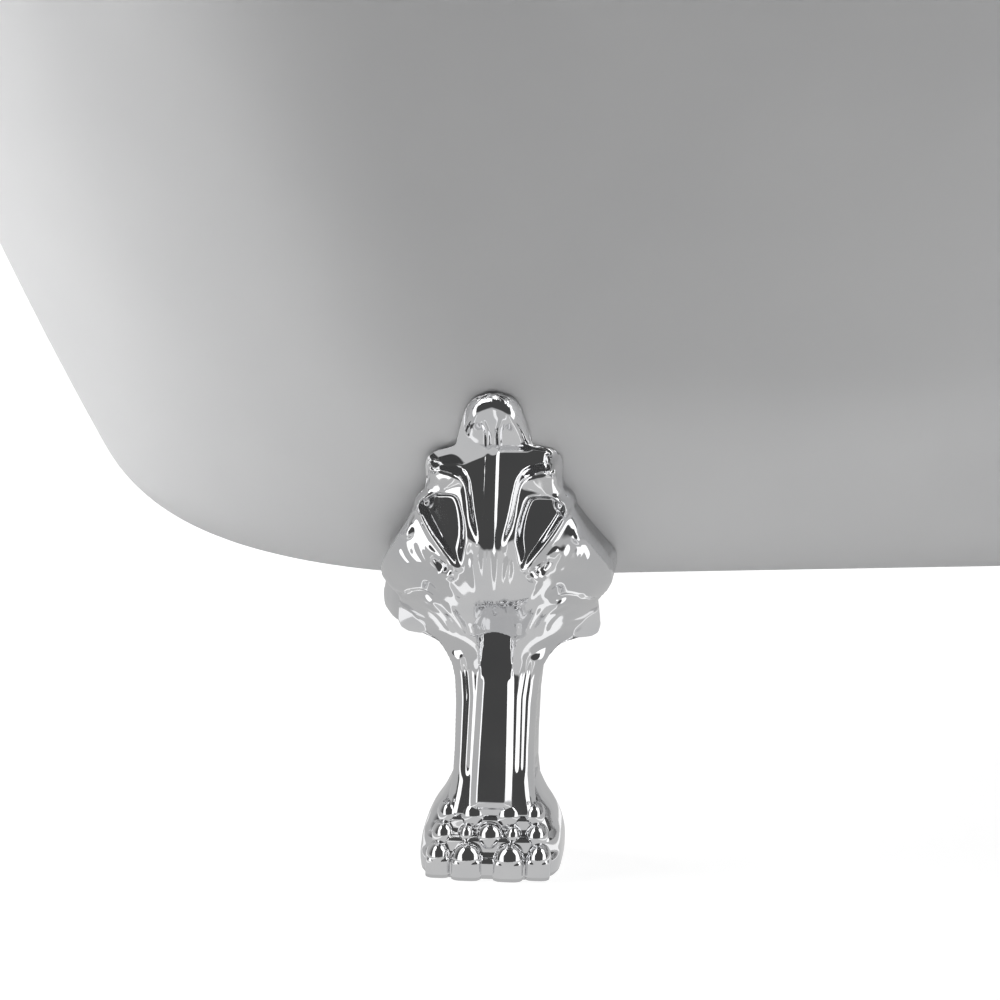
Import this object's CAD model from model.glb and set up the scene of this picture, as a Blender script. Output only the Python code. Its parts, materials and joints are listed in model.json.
import json
import math

import bpy
import numpy as np
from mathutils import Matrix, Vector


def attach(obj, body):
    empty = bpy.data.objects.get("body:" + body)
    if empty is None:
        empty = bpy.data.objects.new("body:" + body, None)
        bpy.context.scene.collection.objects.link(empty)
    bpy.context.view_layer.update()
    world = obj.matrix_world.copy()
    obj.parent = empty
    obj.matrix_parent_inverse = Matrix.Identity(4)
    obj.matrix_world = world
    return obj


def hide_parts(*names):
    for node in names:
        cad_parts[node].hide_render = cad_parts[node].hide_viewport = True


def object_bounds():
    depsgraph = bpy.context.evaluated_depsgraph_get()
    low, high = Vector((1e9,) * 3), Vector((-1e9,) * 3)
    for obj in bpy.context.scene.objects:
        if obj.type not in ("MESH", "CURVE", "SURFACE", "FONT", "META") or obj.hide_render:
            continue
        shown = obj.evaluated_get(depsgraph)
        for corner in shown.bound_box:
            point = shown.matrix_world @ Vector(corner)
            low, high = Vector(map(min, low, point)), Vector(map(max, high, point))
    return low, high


# Roll-rim bathtub on claw feet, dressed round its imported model. Metres. X runs along the tub with the
# sloping head end at -X, Z is up, and the near side in the photograph is -Y.

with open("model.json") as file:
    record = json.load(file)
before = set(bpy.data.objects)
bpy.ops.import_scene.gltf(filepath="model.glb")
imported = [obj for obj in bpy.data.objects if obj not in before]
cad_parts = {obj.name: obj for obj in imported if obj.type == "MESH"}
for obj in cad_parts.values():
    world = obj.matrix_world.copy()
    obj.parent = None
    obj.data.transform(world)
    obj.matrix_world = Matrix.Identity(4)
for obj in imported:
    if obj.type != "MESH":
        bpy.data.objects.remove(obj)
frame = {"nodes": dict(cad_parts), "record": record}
cad_low, cad_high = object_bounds()

mm = 0.001
crisp_edge = 35           # degrees; an edge whose faces turn by more than this isn't smoothed

# ---------------------------------------------------------------- sizes of the shell, as in the frame
tub_length, tub_width, tub_height = (high - low for low, high in zip(cad_low, cad_high))
ground_clearance = 125 * mm     # floor to the underside
wall = 7 * mm
roll_radius = 22 * mm
rim_wall = 7 * mm
lip_drop = 6 * mm
side_corner = 170 * mm    # radius between the underside and the wall
side_slope = 11.0         # degrees that the wall leans out
head_corner = 76 * mm
head_slope = 26.4
head_bow = 50 * mm        # how far the head wall bends back from its slope by the rim
head_nose = 132 * mm      # length of the half ellipse in plan at the underside
head_nose_growth = 0.6    # and its growth for each unit that the sides spread
tap_corner = 110 * mm
tap_slope = 9.0
tap_nose = 106 * mm
tap_nose_growth = 0.68
drain_from_tap_end = 290 * mm
drain_hole = 26 * mm
drain_recess = 37 * mm
recess_depth = 2 * mm
overflow_below_rim = 160 * mm
overflow_hole = 30 * mm
foot_from_side = 170 * mm
foot_from_head_end = 392 * mm
foot_from_tap_end = 305 * mm
bolt_reach = 102 * mm     # middle of a leg to its bolt, inwards under the tub
bolt_splay = 6.5          # degrees from straight in
bolt_hole = 5.05 * mm
bolt_depth = 12 * mm
boss_radius = 15 * mm
boss_height = 10 * mm
past = 1 * mm             # how far a cut runs on past the face that it opens
rim_centre = tub_height - roll_radius
wall_height = rim_centre - ground_clearance
boss_low = ground_clearance - boss_height
foot_offset_y = tub_width / 2 - foot_from_side
foot_head_x = foot_from_head_end - tub_length / 2
foot_tap_x = tub_length / 2 - foot_from_tap_end
drain_x = tub_length / 2 - drain_from_tap_end
overflow_z = tub_height - overflow_below_rim

# where each foot's leg stands, with its end of the tub (-1 at the head) and its side (-1 is the near one)
foot_places = [(x, side * foot_offset_y, end, side)
               for x, end in ((foot_head_x, -1), (foot_tap_x, 1)) for side in (-1, 1)]


# ---------------------------------------------------------------- meshes from whole arrays
def sin(degrees):
    return np.sin(np.radians(degrees))


def cos(degrees):
    return np.cos(np.radians(degrees))


def tan(degrees):
    return np.tan(np.radians(degrees))


def smooth_step(x, low, high):
    """0 below low, 1 above high, and the cubic 3s^2 - 2s^3 between."""
    s = np.clip((x - low) / (high - low), 0, 1)
    return s * s * (3 - 2 * s)


def grid_faces(rows, cols, round_cols):
    """Four corners of each face of a grid of points, with the last column joined to the first if the
    surface goes all the way round."""
    index = np.arange(rows * cols).reshape(rows, cols)
    after = np.roll(index, -1, axis=1)
    if not round_cols:
        index, after = index[:, :-1], after[:, :-1]
    corners = (index[:-1], after[:-1], after[1:], index[1:])
    return np.stack([c.ravel() for c in corners], axis=1)


def skin(points, round_cols=True, close_start=False, close_end=False):
    """Points and faces of a surface given as rows of points. An end row may be closed by a fan to its
    middle."""
    rows, cols = points.shape[:2]
    vertices = points.reshape(-1, 3)
    faces = [tuple(f) for f in grid_faces(rows, cols, round_cols).tolist()]
    for close, row, turn in ((close_start, 0, 1), (close_end, rows - 1, -1)):
        if close:
            middle = len(vertices)
            vertices = np.vstack([vertices, points[row].mean(axis=0)])
            ring = row * cols + np.arange(cols)
            pairs = np.stack([np.roll(ring, -1), ring] if turn > 0 else [ring, np.roll(ring, -1)], axis=1)
            faces += [(a, b, middle) for a, b in pairs.tolist()]
    return vertices, faces


def build(name, skins, materials, pick=None):
    """One object from several skins. pick gives each skin's material, one number for each face."""
    vertices, faces, kinds, start = [], [], [], 0
    for n, (points, polygons) in enumerate(skins):
        vertices.append(points)
        faces += [tuple(i + start for i in polygon) for polygon in polygons]
        kinds.append(np.zeros(len(polygons), int) if pick is None else pick[n])
        start += len(points)
    mesh = bpy.data.meshes.new(name)
    mesh.from_pydata(np.vstack(vertices).tolist(), [], faces)
    mesh.polygons.foreach_set("use_smooth", np.ones(len(faces), bool))
    for material in materials:
        mesh.materials.append(material)
    mesh.polygons.foreach_set("material_index", np.concatenate(kinds).astype(np.int32))
    mesh.update()
    piece = bpy.data.objects.new(name, mesh)
    bpy.context.scene.collection.objects.link(piece)
    return piece


def rod(radius, start, length, along_x=False, segments=96):
    """Round bar: a circle carried straight along Z, or along X, from start, its ends closed by fans."""
    turn = np.linspace(0, 360, segments, endpoint=False)
    ring = np.stack([radius * cos(turn), radius * sin(turn), 0 * turn], axis=1)
    points = np.stack([ring, ring + np.array([0, 0, length])])
    if along_x:
        points = points[..., [2, 0, 1]]
    return skin(points + np.array(start), True, True, True)


def cut_or_join(piece, name, bars, operation, material):
    """Cuts bars from a piece, or joins them to it, and keeps the result as the piece's mesh with its
    edges crisp."""
    tool = build(name, bars, [material])
    change = piece.modifiers.new(name, "BOOLEAN")
    change.operation = operation
    change.solver = "EXACT"
    change.object = tool
    bpy.context.view_layer.update()
    finished = piece.evaluated_get(bpy.context.evaluated_depsgraph_get())
    finished = bpy.data.meshes.new_from_object(finished)
    finished.set_sharp_from_angle(angle=math.radians(crisp_edge))
    piece.modifiers.clear()
    piece.data = finished
    bpy.data.objects.remove(tool)


# ---------------------------------------------------------------- materials
def new_material(name):
    """A material with its nodes, its links and its main shader."""
    material = bpy.data.materials.new(name)
    material.use_nodes = True
    nodes = material.node_tree.nodes
    return material, nodes, material.node_tree.links, nodes["Principled BSDF"]


def noise(nodes, links, scale, detail=3.0, roughness=0.5):
    """Noise in the object's own coordinates; scale is waves per metre."""
    place = nodes.new("ShaderNodeTexCoord")
    texture = nodes.new("ShaderNodeTexNoise")
    texture.inputs["Scale"].default_value = scale
    texture.inputs["Detail"].default_value = detail
    texture.inputs["Roughness"].default_value = roughness
    links.new(place.outputs["Object"], texture.inputs["Vector"])
    return texture.outputs["Fac"]


def ramp(nodes, links, value, stops):
    """Turns a value into a colour by stops of position and grey or colour."""
    node = nodes.new("ShaderNodeValToRGB")
    elements = node.color_ramp.elements
    for n, (position, colour) in enumerate(stops):
        element = elements[n] if n < 2 else elements.new(position)
        element.position = position
        element.color = (*(colour if isinstance(colour, tuple) else (colour,) * 3), 1)
    links.new(value, node.inputs["Fac"])
    return node.outputs["Color"]


def bump(nodes, links, value, shader, depth, strength):
    """Relief of a value on a shader's surface; depth is in metres."""
    node = nodes.new("ShaderNodeBump")
    node.inputs["Strength"].default_value = strength
    node.inputs["Distance"].default_value = depth
    links.new(value, node.inputs["Height"])
    links.new(node.outputs["Normal"], shader.inputs["Normal"])


def satin_paint():
    """White paint, rubbed down and sprayed over cast iron: a faint cloudiness and orange peel."""
    material, nodes, links, shader = new_material("satin_paint")
    cloud = noise(nodes, links, 9.0)
    links.new(ramp(nodes, links, cloud, [(0.3, (0.590, 0.592, 0.598)), (0.7, (0.615, 0.616, 0.620))]),
              shader.inputs["Base Color"])
    links.new(ramp(nodes, links, cloud, [(0.3, 0.36), (0.7, 0.44)]), shader.inputs["Roughness"])
    bump(nodes, links, noise(nodes, links, 700.0, 2.0), shader, 0.03 * mm, 0.5)
    return material


def gloss_enamel():
    """Fired enamel: thick, glossy and very slightly wavy."""
    material, nodes, links, shader = new_material("gloss_enamel")
    cloud = noise(nodes, links, 12.0)
    links.new(ramp(nodes, links, cloud, [(0.3, (0.86, 0.86, 0.85)), (0.7, (0.89, 0.89, 0.88))]),
              shader.inputs["Base Color"])
    links.new(ramp(nodes, links, cloud, [(0.3, 0.06), (0.7, 0.10)]), shader.inputs["Roughness"])
    shader.inputs["Coat Weight"].default_value = 0.5
    shader.inputs["Coat Roughness"].default_value = 0.03
    bump(nodes, links, noise(nodes, links, 30.0, 1.0), shader, 0.15 * mm, 0.4)
    return material


def chrome(name, rough_low, rough_high, ripple):
    """Bright plating: a clean mirror with soft wear in its roughness and the casting's ripple under it."""
    material, nodes, links, shader = new_material(name)
    shader.inputs["Metallic"].default_value = 1.0
    cloud = noise(nodes, links, 40.0)
    links.new(ramp(nodes, links, cloud, [(0.3, (0.74, 0.745, 0.76)), (0.7, (0.80, 0.80, 0.805))]),
              shader.inputs["Base Color"])
    wear = ramp(nodes, links, cloud, [(0.35, rough_low), (0.7, rough_high)])
    links.new(wear, shader.inputs["Roughness"])
    bump(nodes, links, noise(nodes, links, 90.0, 1.0), shader, ripple, 0.5)
    return material


def worked_metal(name, dark, light, rough_low, rough_high, tool_marks):
    """Bare metal with a cloudy tarnish and the fine marks of its tool."""
    material, nodes, links, shader = new_material(name)
    shader.inputs["Metallic"].default_value = 1.0
    cloud = noise(nodes, links, 60.0)
    links.new(ramp(nodes, links, cloud, [(0.3, dark), (0.7, light)]), shader.inputs["Base Color"])
    wear = ramp(nodes, links, cloud, [(0.3, rough_low), (0.7, rough_high)])
    links.new(wear, shader.inputs["Roughness"])
    bump(nodes, links, noise(nodes, links, tool_marks, 2.0), shader, 0.02 * mm, 0.4)
    return material


def moulded_rubber():
    """Dark rubber with a dusty bloom and a slightly grained skin."""
    material, nodes, links, shader = new_material("moulded_rubber")
    cloud = noise(nodes, links, 150.0)
    links.new(ramp(nodes, links, cloud, [(0.3, (0.018, 0.018, 0.019)), (0.75, (0.035, 0.034, 0.034))]),
              shader.inputs["Base Color"])
    links.new(ramp(nodes, links, cloud, [(0.3, 0.55), (0.7, 0.75)]), shader.inputs["Roughness"])
    bump(nodes, links, noise(nodes, links, 1500.0, 2.0), shader, 0.03 * mm, 0.5)
    return material


paint = satin_paint()
enamel = gloss_enamel()
foot_chrome = chrome("foot_chrome", 0.05, 0.10, 0.10 * mm)
fitting_chrome = chrome("fitting_chrome", 0.06, 0.13, 0.02 * mm)
brass = worked_metal("turned_brass", (0.62, 0.46, 0.22), (0.74, 0.57, 0.30), 0.20, 0.34, 900.0)
steel = worked_metal("bright_steel", (0.42, 0.42, 0.43), (0.56, 0.56, 0.57), 0.28, 0.42, 700.0)
rubber = moulded_rubber()
slot_materials = {"enamelled_iron": enamel, "foot_plating": foot_chrome, "fitting_chrome": fitting_chrome,
                  "brass": brass, "steel": steel, "rubber": rubber}


# ---------------------------------------------------------------- the shell
def flare(h, radius, slope, bow):
    """How far a wall stands outside the flat floor's edge at height h: a corner arc, then a straight
    wall that leans out by slope and bends back by bow over its height."""
    arc_top = radius * (1 - sin(slope))
    arc = np.sqrt(np.maximum(radius ** 2 - (radius - np.minimum(h, arc_top)) ** 2, 0))
    above = np.maximum(h - arc_top, 0)
    return arc + above * tan(slope) - bow * (above / wall_height) ** 2


def flat_reach(half_size, radius, slope, bow):
    """Reach of the flat floor from the middle for which the roll's outside comes out at half_size."""
    return half_size - 2 * roll_radius - flare(wall_height - wall, radius - wall, slope, bow)


side_flat = flat_reach(tub_width / 2, side_corner, side_slope, 0)
head_flat = flat_reach(tub_length / 2, head_corner, head_slope, head_bow)
tap_flat = flat_reach(tub_length / 2, tap_corner, tap_slope, 0)


def sizes_at(h, inset):
    """Half width, head reach, tap reach and the two nose lengths at heights h above the floor of the
    face that lies inset from the outside."""
    half_width = side_flat + flare(h, side_corner - inset, side_slope, 0)
    head = head_flat + flare(h, head_corner - inset, head_slope, head_bow)
    tap = tap_flat + flare(h, tap_corner - inset, tap_slope, 0)
    spread = half_width - side_flat
    return half_width, head, tap, head_nose + head_nose_growth * spread, tap_nose + tap_nose_growth * spread


# points round the head end, along each side and round the tap end
head_steps, side_steps, tap_steps = 112, 40, 88


def outline_rows(z, sizes, grow=0.0):
    """Level outlines, one row for each height: half an ellipse round the head end, a straight side,
    half an ellipse round the tap end and the other side."""
    half_width, head, tap, head_n, tap_n = (np.reshape(s + grow, (-1, 1)) for s in sizes)
    head_turn = np.linspace(90, 270, head_steps, endpoint=False)
    tap_turn = np.linspace(-90, 90, tap_steps, endpoint=False)
    share = np.linspace(0, 1, side_steps, endpoint=False)
    head_x, tap_x = head_n - head, tap - tap_n
    x = np.hstack([head_x + head_n * cos(head_turn), head_x + (tap_x - head_x) * share,
                   tap_x + tap_n * cos(tap_turn), tap_x + (head_x - tap_x) * share])
    ones = np.ones_like(share)
    y = half_width * np.hstack([sin(head_turn), -ones, sin(tap_turn), ones])
    return np.stack([x, y, np.broadcast_to(np.reshape(z, (-1, 1)), x.shape)], axis=2)


def wall_heights(inset, corner_rows=36, wall_rows=44):
    """Heights above a face's floor: even turns round the corner arc, then even steps to the roll."""
    radius = side_corner - inset
    turns = np.linspace(0, 90 - side_slope, corner_rows, endpoint=False)
    arc_top = radius * (1 - sin(side_slope))
    steps = np.linspace(arc_top, wall_height - inset, wall_rows, endpoint=False)
    return np.concatenate([radius * (1 - cos(turns)), steps])


def shell_skin():
    """The whole casting as one closed surface: out over the underside, up the painted wall, round
    under the roll and its lip, back over the roll, and down the enamelled wall to the bath's floor.
    Returns it with each face's material: paint below the lip, enamel above."""
    rim = sizes_at(np.array([wall_height - wall]), wall)
    outer_h, inner_h = wall_heights(0), wall_heights(wall)[::-1]
    outer = outline_rows(ground_clearance + outer_h, sizes_at(outer_h, 0))
    turn = np.linspace(0, 180, 37)

    def roll(radius, turns):
        grow = (roll_radius - radius * cos(turns))[:, None]
        return outline_rows(rim_centre + radius * sin(turns), rim, grow)

    lip_turn = np.linspace(0, 180, 9)
    lip_middle, lip_half = roll_radius - rim_wall / 2, rim_wall / 2
    lip = outline_rows(rim_centre - lip_drop + lip_half * (1 - sin(lip_turn)),
                       rim, (roll_radius + lip_middle - lip_half * cos(lip_turn))[:, None])
    inner = outline_rows(ground_clearance + wall + inner_h, sizes_at(inner_h, wall))
    under_roll, over_roll = roll(roll_radius - rim_wall, turn), roll(roll_radius, turn[::-1])
    rows = np.concatenate([outer, under_roll, lip, over_roll, inner])
    points, faces = skin(rows, True, True, True)
    painted_rows = len(outer) + len(turn) + len(lip) // 2
    row_of_face = np.arange(len(rows) - 1).repeat(rows.shape[1])
    fans = np.array([0, len(rows)]).repeat(rows.shape[1])
    return (points, faces), (np.concatenate([row_of_face, fans]) > painted_rows).astype(int)


shell, shell_kinds = shell_skin()
tub = build("tub_casting", [shell], [paint, enamel], [shell_kinds])
bosses, bolt_holes = [], []
for foot_x, foot_y, end, side in foot_places:
    boss_x = foot_x - end * bolt_reach * sin(bolt_splay)
    boss_y = foot_y - side * bolt_reach * cos(bolt_splay)
    bosses.append(rod(boss_radius, (boss_x, boss_y, boss_low), boss_height + wall / 2))
    bolt_holes.append(rod(bolt_hole, (boss_x, boss_y, boss_low - past), bolt_depth + past, segments=48))
drain_opening = rod(drain_hole, (drain_x, 0, ground_clearance - past), wall + 2 * past)
overflow_opening = rod(overflow_hole, (tap_flat, 0, overflow_z), tub_length / 2 - tap_flat, True)
recess = rod(drain_recess, (drain_x, 0, ground_clearance + wall - recess_depth), recess_depth + past)
cut_or_join(tub, "bosses", bosses, "UNION", paint)
cut_or_join(tub, "openings", [drain_opening, overflow_opening] + bolt_holes, "DIFFERENCE", paint)
cut_or_join(tub, "drain_recess", [recess], "DIFFERENCE", paint)
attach(tub, "tub")
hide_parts("tub_shell")


# ---------------------------------------------------------------- claw feet
# A foot is worked out in millimetres in its own frame: across to its right, out from the middle of its
# leg towards its toes, and up from the floor. foot_object turns that into the part's frame.
foot_splay = 9.0          # degrees from straight out, towards its end of the tub
foot_lean = 0.03          # how far a foot kicks out towards its end of the tub for each unit of its drop
lean_from = 45.0          # height that the lean leaves in its place
shell_gap = 0.4           # between the leaf's back and the shell
plate_low, plate_high = 30, 257
leaf_starts = (112, 120)  # heights over which the leaf's carving sets in
edge_blunting = 0.9
seam_thickness = 0.5      # least thickness of the plate where it runs out

# heights up, with how far out the plate's face stands
foot_face = [(30, 21.5), (46, 19.4), (62, 17.4), (80, 15.2), (96, 13.6), (104, 14.2), (115, 19), (126, 28),
             (138, 41), (150, 52), (160, 58.5), (170, 62.5), (181, 65.2), (190, 65.6), (200, 65.4),
             (212, 65.0), (222, 64.6), (228, 64.9), (232, 66.8), (237, 70.4), (243, 74.8), (250, 79),
             (257, 82)]
# heights up, with the plate's half width
foot_outline = [(30, 23), (40, 21), (50, 19.6), (62, 19.3), (84, 19.6), (96, 20.6), (103, 22.4),
                (108.5, 25.2), (112.8, 30), (114.2, 37), (115.2, 44), (118.5, 48), (124, 49.4), (133, 48.8),
                (138.5, 48), (141, 49.2), (146, 53), (152, 55.6), (159, 55.4), (166, 53), (177, 47.2),
                (188, 41.2), (194, 38.2), (199, 37.6), (202, 36), (204.6, 33), (210, 32), (218, 32.2),
                (222.5, 31.2), (226, 27.5), (227.6, 21), (228.8, 17.8), (236, 16.2), (243, 14.6),
                (249, 12.8), (253, 10.4), (255.6, 7), (257, 1)]
# heights up, with the radius of the bow across the plate, its depth and the radius of its edge
plan_radius = [(30, 200), (96, 120), (112, 36), (130, 44), (150, 60), (180, 90), (200, 100), (256, 110)]
foot_depth = [(30, 36), (95, 33), (108, 27), (118, 21), (130, 24), (145, 40), (156, 60), (257, 60)]
edge_radius = [(30, 7), (100, 6), (115, 4.5), (190, 4.5), (225, 5), (240, 6), (257, 8)]


def along(points, count):
    """Catmull-Rom curve through points, as count rows: each span is the cubic whose slope at each end is
    half the chord between the neighbours."""
    p = np.array(points, float)
    p = np.vstack([2 * p[0] - p[1], p, 2 * p[-1] - p[-2]])
    place = np.linspace(0, len(p) - 3 - 1e-6, count)
    k = place.astype(int)
    f = (place - k)[:, None]
    a, b, c, d = (p[k + n] for n in range(4))
    bend, twist = (2 * a - 5 * b + 4 * c - d) * f ** 2, (3 * b - a - 3 * c + d) * f ** 3
    return (2 * b + (c - a) * f + bend + twist) / 2


def read_off(points, value):
    """Second coordinate of the smooth curve through points where the first is value."""
    curve = along(points, 600)
    return np.interp(value, curve[:, 0], curve[:, 1])


def read_softly(points, value, soft):
    """As read_off along straight lines whose corners are blunted over soft."""
    p = np.array(points, float)
    taps = np.linspace(-soft, soft, 7)
    return sum(np.interp(value + tap, p[:, 0], p[:, 1]) for tap in taps) / len(taps)


def shell_out(up):
    """How far out from the leg the shell's side stands at heights up, far behind below its underside."""
    h = np.maximum(up * mm - ground_clearance, 0)
    beside = side_flat + flare(h, side_corner, side_slope, 0) - foot_offset_y
    return np.where(up * mm > ground_clearance, beside / mm, -200.0)


def nearest(points, across, up, closed=False, samples=90):
    """For each place, the distance to the smooth curve through points, which side of it the place is on
    (positive on the right of its run) and how far along the nearest place is, from 0 to 1."""
    line = along(points + points[:1] if closed else points, samples)
    way = np.gradient(line, axis=0)
    away = np.stack([across.ravel()[:, None] - line[:, 0], up.ravel()[:, None] - line[:, 1]])
    square = (away ** 2).sum(axis=0)
    near = square.argmin(axis=1)
    pick = np.arange(len(near)), near
    turn = way[near, 1] * away[0][pick] - way[near, 0] * away[1][pick]
    distance = np.sqrt(square[pick])
    return (distance.reshape(across.shape), np.sign(turn).reshape(across.shape),
            (near / (samples - 1)).reshape(across.shape))


def within(points, across, up, samples=90):
    """Distance inside the closed smooth curve through points, negative outside. A place is inside if a
    level line to its right crosses the curve an odd number of times."""
    line = along(points + points[:1], samples)
    distance, _, _ = nearest(points, across, up, closed=True, samples=samples)
    a, b = line, np.roll(line, -1, axis=0)
    y = up.ravel()[:, None]
    straddles = (a[:, 1] > y) != (b[:, 1] > y)
    rise = np.where(b[:, 1] == a[:, 1], 1e-9, b[:, 1] - a[:, 1])
    crossing = a[:, 0] + (y - a[:, 1]) * (b[:, 0] - a[:, 0]) / rise
    inside = (straddles & (across.ravel()[:, None] < crossing)).sum(axis=1) % 2 == 1
    return distance * np.where(inside, 1, -1).reshape(across.shape)


def bead(points, across, up, height, half_width, ends):
    """Rounded ridge, or groove if height is negative, along a curve: height times (1 - (d/w)^2)^2,
    faded at both ends over that share of the curve."""
    distance, _, share = nearest(points, across, up)
    fade = smooth_step(share, 0.0, ends) * (1 - smooth_step(share, 1 - ends, 1.0))
    return height * fade * (1 - np.minimum(distance / half_width, 1) ** 2) ** 2


def softened(relief, spread):
    """Relief blurred over its grid, first down the columns and then along the rows, by weights that fall
    off as exp(-(n/spread)^2/2)."""
    reach = int(3 * spread)
    weights = np.exp(-(np.arange(-reach, reach + 1) / spread) ** 2 / 2)
    weights /= weights.sum()
    for axis in (0, 1):
        edges = [(reach, reach) if n == axis else (0, 0) for n in (0, 1)]
        padded = np.pad(relief, edges, mode="edge")
        count = relief.shape[axis]
        relief = sum(w * np.take(padded, range(n, n + count), axis=axis) for n, w in enumerate(weights))
    return relief


def knob(across, up, at_across, at_up, height, radius):
    """Ball-like swelling: height times the square root of 1 - (r/R)^2, blended out at its foot."""
    r = np.hypot(across - at_across, up - at_up) / radius
    blend = smooth_step(1 - r, 0, 0.35)
    return height * np.sqrt(np.clip(1 - r ** 2, 0, 1)) * blend


def with_beads(relief, beads, side, up):
    """Relief with a table of beads added: the curve, height, half width and faded share of each."""
    for points, height, half_width, ends in beads:
        relief = relief + bead(points, side, up, height, half_width, ends)
    return relief


# places across and up on the leaf's right half
first_crest = [(34, 220.5), (30.5, 219.5), (25.3, 216.8), (18.6, 215.2), (14.4, 211.5), (12.8, 205),
               (10.6, 191.5), (7.6, 181)]
second_hollow = [(27, 203.2), (17.6, 203), (14.0, 195), (12.6, 185), (13.6, 176), (15.0, 166.5),
                 (17.6, 169.5), (22, 176.8), (28, 185.7), (33.6, 195), (34.6, 200)]
eye = [(28.6, 173.5), (24.6, 170.8), (20.4, 166.6), (21.0, 163.6), (23.9, 162.9), (26.6, 167.6)]
lower_hollow = [(32.0, 157.5), (28.0, 154.0), (26.0, 149.8), (29.6, 149.6), (33.2, 151.5)]

midrib_beads = [
    ([(5.6, 245), (4.0, 242), (2.9, 237), (2.8, 231), (3.0, 226)], 0.9, 1.5, 0.3),
    ([(3.0, 231), (3.1, 215), (3.2, 190), (3.1, 165), (2.2, 140)], 0.75, 1.4, 0.05)]
tongue_bead = [([(9.6, 178), (8.2, 166), (5.6, 148)], 1.5, 2.2, 0.4)]
second_ridges = [
    ([(37, 201), (34.6, 195.4), (29.6, 186), (23.4, 176.6), (17.8, 169), (16.0, 164.5)], 2.8, 2.6, 0.1),
    ([(17.4, 202), (13.2, 195), (11.8, 185), (12.2, 177), (14, 165)], 0.9, 1.6, 0.12)]
eye_lid = [([(32, 178), (25.4, 172.4), (17.6, 166.6)], 1.8, 1.7, 0.12)]
third_folds = [
    ([(41.5, 178), (38.6, 170.5), (31.5, 164.4)], 1.2, 2.3, 0.3),
    ([(35.6, 180), (32.6, 171.5), (28.2, 164.4)], 1.2, 2.3, 0.3),
    ([(46.5, 174), (43.4, 168), (38, 162)], 1.0, 2.3, 0.3)]
lower_folds = [
    ([(50, 140), (42, 144.5), (34, 148.5), (28, 147)], -2.6, 3.6, 0.12),
    ([(36.5, 144.5), (30, 142), (24, 135), (16.4, 119)], 2.4, 2.4, 0.3),
    ([(36, 139.6), (29, 136.4), (24.4, 129), (21.6, 119.5)], 2.2, 2.2, 0.3),
    ([(22.4, 160.5), (19.4, 154), (16, 146.5)], 1.6, 2.1, 0.3),
    ([(22.4, 145), (18, 134.5), (12.4, 120)], 1.8, 2.2, 0.3),
    ([(10.8, 131), (10.0, 122)], 2.0, 1.7, 0.12)]
lowest_groove = [([(47, 131), (41, 128), (35, 127.4)], -1.3, 2.4, 0.12)]


def leaf_relief(across, up):
    """Carving of the leaf, in millimetres out from foot_face, worked out on one half and mirrored."""
    side = np.abs(across)
    face = read_off(foot_face, up)
    relief = 1.6 * np.exp(-((side - 8.2) / 4.6) ** 2 - ((up - 246.5) / 5.5) ** 2)
    # first pair: a crest that curls out over the leaf, falling fast to the sunk middle and slowly down
    distance, turn, share = nearest(first_crest, side, up)
    inward = distance * turn
    crest = 6.2 - 4.0 * smooth_step(share, 0.42, 0.68)
    sunk = -3.4 * smooth_step(up, 176, 192)
    above = crest + (sunk - crest) * smooth_step(inward, -0.2, 3.4)
    below = crest * (1 - smooth_step(-inward, -2.0, 14.5))
    lobe = np.where(inward > 0, above, below)
    reach = smooth_step(up, 172, 184) * (1 - smooth_step(up, 225, 229.5))
    relief = relief + lobe * reach * (1 - smooth_step(side, 31, 40) * (inward < 0))
    relief = relief + knob(side, up, 29.4, 221.0, 4.4, 6.4)
    # midrib: two beads with a groove between them, ending in a drop, and the tongue's edge beside it
    relief = with_beads(relief, midrib_beads, side, up)
    groove = 0.6 * (1 - smooth_step(side, 0.6, 2.4))
    relief -= groove * smooth_step(up, 134, 142) * (1 - smooth_step(up, 232, 244))
    relief = with_beads(relief, tongue_bead, side, up)
    # second pair: a hollow between two ridges, with a knob
    depth = np.interp(up, [164, 172, 186, 204], [0.6, 2.2, 5.2, 8.0])
    scoop = smooth_step(within(second_hollow, side, up), -0.2, 1.8)
    relief = relief * (1 - scoop) - depth * scoop
    relief = with_beads(relief, second_ridges, side, up)
    relief += knob(side, up, 34.0, 199.4, 5.2, 6.2)
    # third pair: an eye sunk to a level floor under its lid, with two knobs and three folds beside it
    scoop = smooth_step(within(eye, side, up), -0.3, 1.5)
    relief = relief * (1 - scoop) + (58.3 - 0.06 * (up - 163) - face) * scoop
    relief = with_beads(relief, eye_lid, side, up)
    relief += knob(side, up, 20.6, 163.0, 3.0, 3.6)
    relief += knob(side, up, 41.4, 183.0, 2.6, 4.0)
    relief = with_beads(relief, third_folds, side, up)
    # lower lobes: a small hollow, folds that run in to the ankle, and two low knobs
    scoop = smooth_step(within(lower_hollow, side, up), -0.3, 1.4)
    relief = relief * (1 - scoop) + (50.6 + 0.1 * (up - 150) - face) * scoop
    relief = with_beads(relief, lower_folds, side, up)
    relief += knob(side, up, 44.4, 145.6, 1.6, 4.0) + knob(side, up, 44.6, 120.5, 1.8, 4.6)
    return with_beads(relief, lowest_groove, side, up)


def leg_relief(across, up):
    """Raised band down the leg's front with chamfered sides, and a flute on each side."""
    side = np.abs(across)
    band_half = np.interp(up, [44, 100, 124], [6.8, 5.6, 5.8])
    band = 1 - np.clip((side - band_half) / 3.4, 0, 1)
    raised = 2.3 * band * smooth_step(up, 32, 36) * (1 - smooth_step(up, 97, 103))
    flute_at = np.interp(up, [46, 88, 112], [13.4, 12.9, 15.6])
    flute = np.exp(-((side - flute_at) / 1.7) ** 2)
    flute = flute * smooth_step(up, 47, 54) * (1 - smooth_step(up, 101, 114))
    return raised - 1.6 * flute


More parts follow.
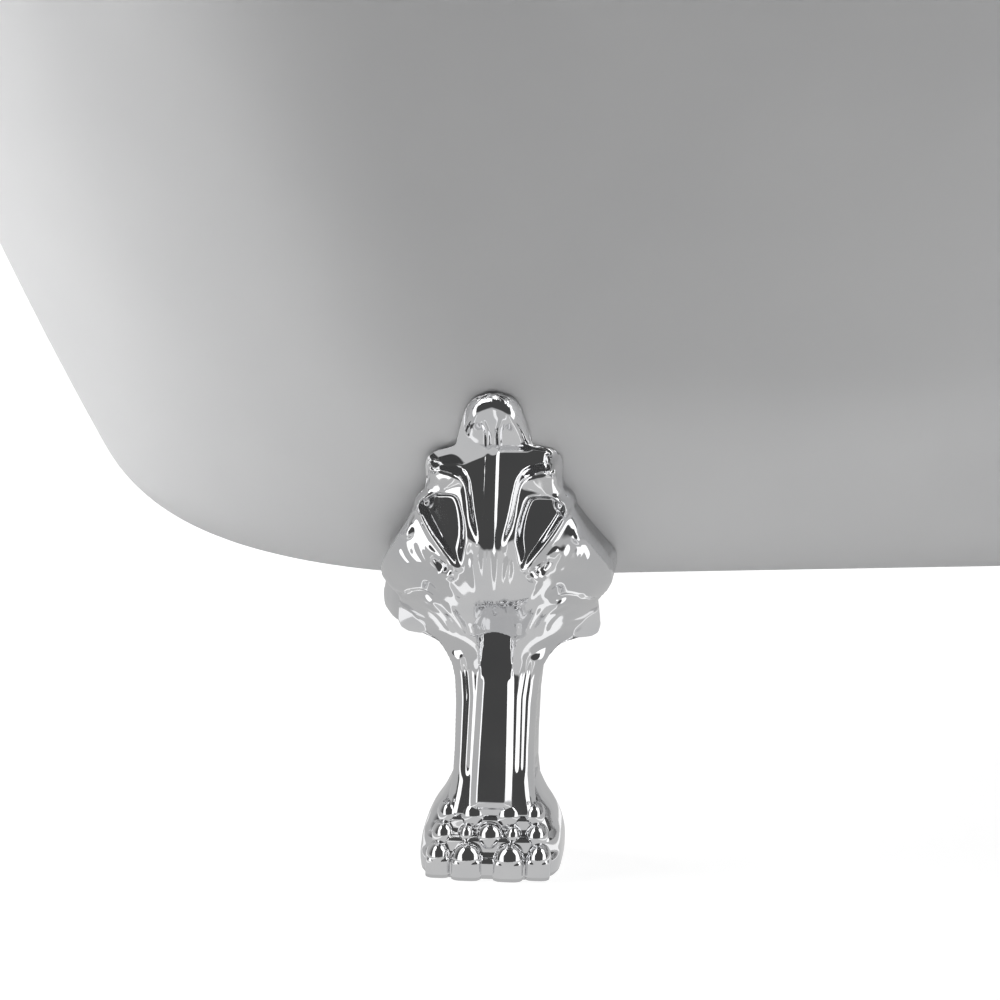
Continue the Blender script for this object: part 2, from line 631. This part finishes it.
def window(across, up):
    """Share of the sunk window above the leg's band, with a round head."""
    side = np.abs(across)
    head = 125.5 - 0.06 * side ** 2
    sides = 1 - smooth_step(side, 7.2, 8.5)
    return sides * smooth_step(up, 96, 102) * (1 - smooth_step(up, head - 2.5, head))


def foot_plate():
    """Leaf and leg as one closed surface. Its front is foot_face, bowed back by across squared over
    twice plan_radius, carved by the reliefs, and rounded at its outline; it goes back to the shell."""
    up = np.linspace(plate_low, plate_high, 300)[:, None]
    half = read_softly(foot_outline, up, edge_blunting)
    bunching = 0.78           # how much the columns crowd towards the plate's edges, from 0 to 1
    spread = np.sin(np.linspace(-90, 90, 141) * bunching * np.pi / 180) / np.sin(bunching * np.pi / 2)
    across = half * spread[None, :]
    edge_up = np.linspace(plate_low, plate_high, 500)
    edge = np.stack([read_softly(foot_outline, edge_up, edge_blunting), edge_up], axis=1)
    square = (np.abs(across)[..., None] - edge[:, 0]) ** 2 + (up[..., None] - edge[:, 1]) ** 2
    gap = np.sqrt(square.min(axis=2))
    radius = read_off(edge_radius, up)
    rounded = radius * (1 - np.sqrt(1 - (1 - np.minimum(gap / radius, 1)) ** 2))
    face = read_off(foot_face, up) - across ** 2 / (2 * read_off(plan_radius, up))
    carved = leaf_relief(across, up + 0 * across) * smooth_step(up, *leaf_starts) + leg_relief(across, up)
    carved = softened(carved, 1.1) * smooth_step(gap, 0.0, 2.5)
    window_floor = np.interp(up, [97, 125], [15.0, 11.4])
    front = face + carved + (window_floor - face - carved) * window(across, up) - rounded

    def back_at(across):
        beside = (shell_out(up) + shell_gap - across * sin(foot_splay)) / cos(foot_splay)
        return np.maximum(beside, read_off(foot_face, up) - read_off(foot_depth, up))

    front = np.maximum(front, back_at(across) + seam_thickness)
    back_across = half * np.linspace(1, -1, 23)[None, :]
    all_across = np.hstack([across, back_across])
    return np.stack([all_across, np.hstack([front, back_at(back_across)]), up + 0 * all_across], axis=-1)


def column(ups, half_widths, fronts, backs, square, rows=60, cols=96):
    """Upright form: level sections that are rounded boxes, |x/a|^n + |y/b|^n = 1, whose half width,
    front and back are read off smooth curves of height."""
    up = np.linspace(ups[0], ups[1], rows)[:, None]
    turn = np.linspace(0, 360, cols, endpoint=False)[None, :]
    c, s = cos(turn), sin(turn)
    half, front, back = (read_off(points, up) for points in (half_widths, fronts, backs))
    middle, depth = (front - back) / 2, (front + back) / 2
    across = half * np.sign(c) * np.abs(c) ** square
    out = middle + depth * np.sign(s) * np.abs(s) ** square
    return np.stack([across, out, up + 0 * across], axis=-1)


def knuckle_skin(across, front, up, half_width, tall, deep=7.0, rows=20, cols=30):
    """Egg-shaped knuckle from level ellipses, its poles closed by fans; front is its foremost point,
    and half_width, deep and tall are its half sizes."""
    polar = np.linspace(3, 177, rows)[:, None]
    turn = np.linspace(0, 360, cols, endpoint=False)[None, :]
    sideways = across + half_width * sin(polar) * cos(turn)
    out = front - deep + deep * sin(polar) * sin(turn)
    return np.stack([sideways, out, up + tall * cos(polar) + 0 * turn], axis=-1)


# across, front and half width of the toes on the right; the left ones mirror them
toes = [(24.3, 30.6, 6.1), (10.2, 33.6, 7.3)]
# across, front, up, half width and half height of the knuckles on the right, and of the middle one
knuckles = [(24.6, 30.9, 9.4, 6.3, 8.4), (10.3, 34.0, 9.0, 8.0, 9.2), (22.8, 25.8, 19.4, 6.0, 7.4),
            (11.4, 26.2, 20.2, 4.6, 6.2), (21.0, 21.6, 29.0, 5.6, 7.2), (8.6, 23.0, 28.8, 7.4, 8.2),
            (17.6, 19.6, 36.2, 2.3, 2.8), (12.4, 20.0, 38.0, 2.0, 2.4), (3.4, 21.6, 38.8, 2.2, 2.6),
            (7.6, 21.4, 40.4, 1.8, 2.2), (1.8, 21.8, 43.0, 1.5, 1.8)]
middle_knuckle = (0.0, 27.4, 19.4, 7.2, 7.8)
# heights up, with the half width, front and back of the paw's body
paw_half = [(0, 33.2), (1.5, 34.2), (8, 34.8), (17, 34), (27, 30.5), (36, 25), (46, 20.4)]
paw_front = [(0, 28.6), (5, 29), (9, 28.6), (12, 25.8), (19, 25.4), (21.6, 21.6), (28.4, 21), (31, 18.6),
             (38, 17.8), (46, 18.0)]
paw_back = [(0, 25), (2, 26), (16, 26), (28, 22), (46, 18)]
paw_top, toe_top, toe_back = 46, 14, 9.0
arm_half_width, arm_length, arm_thickness = 17, 119, 8.5
arm_top = ground_clearance / mm - 10.3


def paw_skins():
    """Body of the paw in three tiers, four upright toes and rows of knuckles."""
    skins = [column((0, paw_top), paw_half, paw_front, paw_back, 0.5)]
    for across, front, half in toes:
        toe_half = [(0, half - 0.6), (1.0, half), (8, half), (11, half * 0.9), (toe_top, half * 0.5)]
        toe_front = [(0, front - 1.0), (1.2, front), (8.6, front), (10.6, front - 1.2),
                     (toe_top, front - 5)]
        behind = [(0, toe_back - front), (toe_top, toe_back - front)]
        toe = column((0, toe_top), toe_half, toe_front, behind, 0.62, rows=30, cols=40)
        skins += [toe + np.array([side * across, 0, 0]) for side in (-1, 1)]
    skins += [knuckle_skin(side * across, *rest) for across, *rest in knuckles for side in (-1, 1)]
    skins.append(knuckle_skin(*middle_knuckle))
    return skins


def arm_skin():
    """Flat arm that reaches back from the leg to its bolt under the tub, alike at all heights."""
    half, front, back = ([(0, size), (200, size)] for size in (arm_half_width, 0, arm_length))
    return column((arm_top - arm_thickness, arm_top), half, front, back, 0.3, rows=12)


def inside_out(points):
    """True if a closed surface's faces point inwards, by the sign of its volume: the sum over the faces
    of area along the normal times the distance from the middle."""
    after = np.roll(points, -1, axis=1)
    a, b, c = points[:-1], after[:-1], points[1:]
    return np.einsum("ijk,ijk->", np.cross(b - a, c - a), a - points.reshape(-1, 3).mean(axis=0)) < 0


def foot_skins():
    """Every closed surface of one foot, with its faces outwards."""
    surfaces = [foot_plate(), arm_skin()] + paw_skins()
    outward = [points[:, ::-1] if inside_out(points) else points for points in surfaces]
    return [skin(points, True, True, True) for points in outward]


def foot_object(name, foot_x, foot_y, end, side):
    """Places a foot under its corner of the tub: end is -1 at the head, side is -1 on the near side.
    Where that mirrors the foot, its faces are turned over."""
    skins = []
    for points, faces in one_foot:
        across, out, up = points.T * mm
        towards_end = out * sin(foot_splay) - across * cos(foot_splay) + foot_lean * (lean_from * mm - up)
        outwards = across * sin(foot_splay) + out * cos(foot_splay)
        placed = np.stack([foot_x + end * towards_end, foot_y + side * outwards, up], axis=1)
        skins.append((placed, faces if end == side else [polygon[::-1] for polygon in faces]))
    foot = build(name + "_casting", skins, [foot_chrome])
    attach(foot, "tub")
    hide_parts(name)


one_foot = foot_skins()
for foot_x, foot_y, end, side in foot_places:
    corner = {-1: "head", 1: "tap"}[end] + "_" + {-1: "near", 1: "far"}[side]
    foot_object("foot_" + corner, foot_x, foot_y, end, side)

# the pieces that keep their own solids get the finish of their material
for item in frame["record"]["subparts"]:
    node = frame["nodes"][item["node"]]
    node.data.materials.clear()
    node.data.materials.append(slot_materials[item["material_slot"]])


# ---------------------------------------------------------------- studio
# The foot is a mirror, so its look is mostly what stands round it: only reflections see these tones.
dark_room, back_room, pale_sheet = 0.07, 0.50, 0.52
room_front, room_back = -0.10, 0.50      # share of a direction's Y over which the room turns pale
sheet_front = -0.50                      # Y of the pale sheet's front edge on the floor
sheet_fade = 0.10
ambient = 0.10                           # light that falls on the object from all round
floor_glow, floor_shade = 0.9, 0.3       # the camera's floor: its own light, and what a shadow can take
floor_size = 8.0                         # from the middle to each edge

# strength and corners of the cards beside the near foot; each corner's x is measured away from the foot
foot_cards = {
    "reflector": (1.5, [(0.17, -0.45, 0.004), (0.17, -0.30, 0.004), (0.55, -0.30, 0.75),
                        (0.55, -0.60, 0.75)]),
    "floor_strip": (1.1, [(0.058, -0.42, 0.003), (0.058, -0.10, 0.003), (0.076, -0.10, 0.003),
                          (0.076, -0.42, 0.003)]),
    "floor_middle": (0.62, [(0.0, -0.50, 0.002), (0.0, -0.10, 0.002), (0.058, -0.10, 0.002),
                            (0.058, -0.50, 0.002)]),
    "side_window": (3.0, [(0.9, -1.10, 0.75), (0.9, -0.42, 0.75), (0.7, -0.42, 1.6), (0.7, -1.10, 1.6)])}

# where each lamp stands, what it faces, its width and height in metres and its watts
lamps = {
    "left_softbox": ((-2.6, 0.3, 0.9), (-0.7, 0, 0.35), 1.6, 1.4, 57),
    "floor_bounce": ((0.3, -0.95, 0.03), (0.2, -0.2, 0.35), 3.0, 0.3, 5.5),
    "low_glow": ((0.1, -0.35, 0.02), (0.1, -0.30, 0.5), 2.2, 0.14, 0.55),
    "right_softbox": ((2.9, 1.1, 1.3), (0.7, 0, 0.35), 1.6, 1.4, 30),
    "back_softbox": ((0.2, 3.2, 1.3), (0, 0, 0.35), 2.4, 1.4, 35),
    "top_softbox": ((0.2, 0.3, 2.6), (0, 0, 0.3), 2.2, 1.2, 26)}


def card(name, corners, material, seen_by_camera=False):
    """Flat card of the studio from its four corners. One that the camera doesn't see is only seen by
    reflections, and casts no light."""
    mesh = bpy.data.meshes.new(name)
    mesh.from_pydata(corners, [], [(0, 1, 2, 3)])
    mesh.materials.append(material)
    piece = bpy.data.objects.new(name, mesh)
    bpy.context.scene.collection.objects.link(piece)
    piece.visible_camera = seen_by_camera
    piece.visible_diffuse = seen_by_camera
    piece.visible_shadow = seen_by_camera


def floor_material():
    """White floor for the camera, with a faint shadow. Reflections see it pale round the tub and dark
    further out in front, as a white sheet laid on a dark studio floor."""
    material, nodes, links, shader = new_material("studio_floor")
    output = nodes["Material Output"]
    shader.inputs["Base Color"].default_value = (0.8, 0.8, 0.8, 1)
    shader.inputs["Roughness"].default_value = 0.9
    shader.inputs["Specular IOR Level"].default_value = 0.0
    path = nodes.new("ShaderNodeLightPath")
    glow = nodes.new("ShaderNodeEmission")
    glow.inputs["Strength"].default_value = floor_glow
    dim = nodes.new("ShaderNodeBsdfDiffuse")
    dim.inputs["Color"].default_value = (floor_shade, floor_shade, floor_shade, 1)
    both = nodes.new("ShaderNodeAddShader")
    links.new(glow.outputs[0], both.inputs[0])
    links.new(dim.outputs[0], both.inputs[1])
    mix = nodes.new("ShaderNodeMixShader")
    links.new(path.outputs["Is Camera Ray"], mix.inputs[0])
    links.new(shader.outputs[0], mix.inputs[1])
    links.new(both.outputs[0], mix.inputs[2])
    place = nodes.new("ShaderNodeTexCoord")
    split = nodes.new("ShaderNodeSeparateXYZ")
    links.new(place.outputs["Object"], split.inputs[0])
    sheet = nodes.new("ShaderNodeMapRange")
    sheet.inputs["From Min"].default_value = sheet_front - sheet_fade
    sheet.inputs["From Max"].default_value = sheet_front
    sheet.inputs["To Min"].default_value = dark_room
    sheet.inputs["To Max"].default_value = pale_sheet
    links.new(split.outputs["Y"], sheet.inputs["Value"])
    seen = nodes.new("ShaderNodeEmission")
    links.new(sheet.outputs[0], seen.inputs["Strength"])
    final = nodes.new("ShaderNodeMixShader")
    links.new(path.outputs["Is Glossy Ray"], final.inputs[0])
    links.new(mix.outputs[0], final.inputs[1])
    links.new(seen.outputs[0], final.inputs[2])
    links.new(final.outputs[0], output.inputs["Surface"])
    return material


def glow_material(name, strength):
    """Even white light from a card."""
    material, nodes, links, _ = new_material(name)
    glow = nodes.new("ShaderNodeEmission")
    glow.inputs["Strength"].default_value = strength
    links.new(glow.outputs[0], nodes["Material Output"].inputs["Surface"])
    return material


def studio_world():
    """White for the camera, a plain grey for the light that falls on the object, and for reflections
    a room that is dark in front and pale behind."""
    world = bpy.data.worlds.new("studio")
    bpy.context.scene.world = world
    world.use_nodes = True
    nodes, links = world.node_tree.nodes, world.node_tree.links
    background = nodes["Background"]
    path = nodes.new("ShaderNodeLightPath")
    place = nodes.new("ShaderNodeTexCoord")
    split = nodes.new("ShaderNodeSeparateXYZ")
    links.new(place.outputs["Generated"], split.inputs[0])
    room = nodes.new("ShaderNodeMapRange")
    room.inputs["From Min"].default_value = room_front
    room.inputs["From Max"].default_value = room_back
    room.inputs["To Min"].default_value = dark_room
    room.inputs["To Max"].default_value = back_room
    links.new(split.outputs["Y"], room.inputs["Value"])
    glossy = nodes.new("ShaderNodeMix")
    glossy.data_type = "RGBA"
    glossy.inputs["A"].default_value = (ambient, ambient, ambient, 1)
    links.new(path.outputs["Is Glossy Ray"], glossy.inputs["Factor"])
    links.new(room.outputs[0], glossy.inputs["B"])
    seen = nodes.new("ShaderNodeMix")
    seen.data_type = "RGBA"
    seen.inputs["B"].default_value = (1, 1, 1, 1)
    links.new(path.outputs["Is Camera Ray"], seen.inputs["Factor"])
    links.new(glossy.outputs["Result"], seen.inputs["A"])
    links.new(seen.outputs["Result"], background.inputs["Color"])


def area_light(name, place, aim, width, height, watts):
    """Soft rectangular lamp at a place, turned to face a point."""
    lamp = bpy.data.lights.new(name, "AREA")
    lamp.shape = "RECTANGLE"
    lamp.size, lamp.size_y, lamp.energy = width, height, watts
    piece = bpy.data.objects.new(name, lamp)
    bpy.context.scene.collection.objects.link(piece)
    piece.location = place
    away = np.array(place) - np.array(aim)
    flat = math.hypot(away[0], away[1])
    piece.rotation_euler = (math.atan2(flat, away[2]), 0, math.atan2(away[0], -away[1]))
    piece.visible_glossy = False
    piece.visible_camera = False


studio_world()
floor_corners = [(x * floor_size, y * floor_size, 0) for x, y in ((-1, -1), (1, -1), (1, 1), (-1, 1))]
card("floor", floor_corners, floor_material(), seen_by_camera=True)
for side in (-1, 1):
    for name, (strength, corners) in foot_cards.items():
        placed = [(foot_head_x + side * x, y, z) for x, y, z in corners]
        card(name + {-1: "_left", 1: "_right"}[side], placed, glow_material(name + "_glow", strength))
for name, settings in lamps.items():
    area_light(name, *settings)

# ---------------------------------------------------------------- camera
photo_pixels = 1000
target = np.array([-460.0, -280.0, 204.0]) * mm     # what stands at the middle of the picture
azimuth, elevation = -3.5, 16.0                     # degrees: to the left of straight in front, and up
distance = 2600 * mm                                # from the camera to the target
pixel_at_target = 0.47 * mm
sensor = 36.0                                       # millimetres, as the lens

lens = bpy.data.cameras.new("camera")
lens.sensor_width = sensor
lens.lens = sensor * distance / (pixel_at_target * photo_pixels)
camera = bpy.data.objects.new("camera", lens)
bpy.context.scene.collection.objects.link(camera)
back = np.array([sin(azimuth) * cos(elevation), -cos(azimuth) * cos(elevation), sin(elevation)])
camera.location = target + distance * back
camera.rotation_euler = (math.radians(90 - elevation), 0, math.radians(azimuth))
bpy.context.scene.camera = camera

view = bpy.context.scene.view_settings
view.view_transform = "Standard"
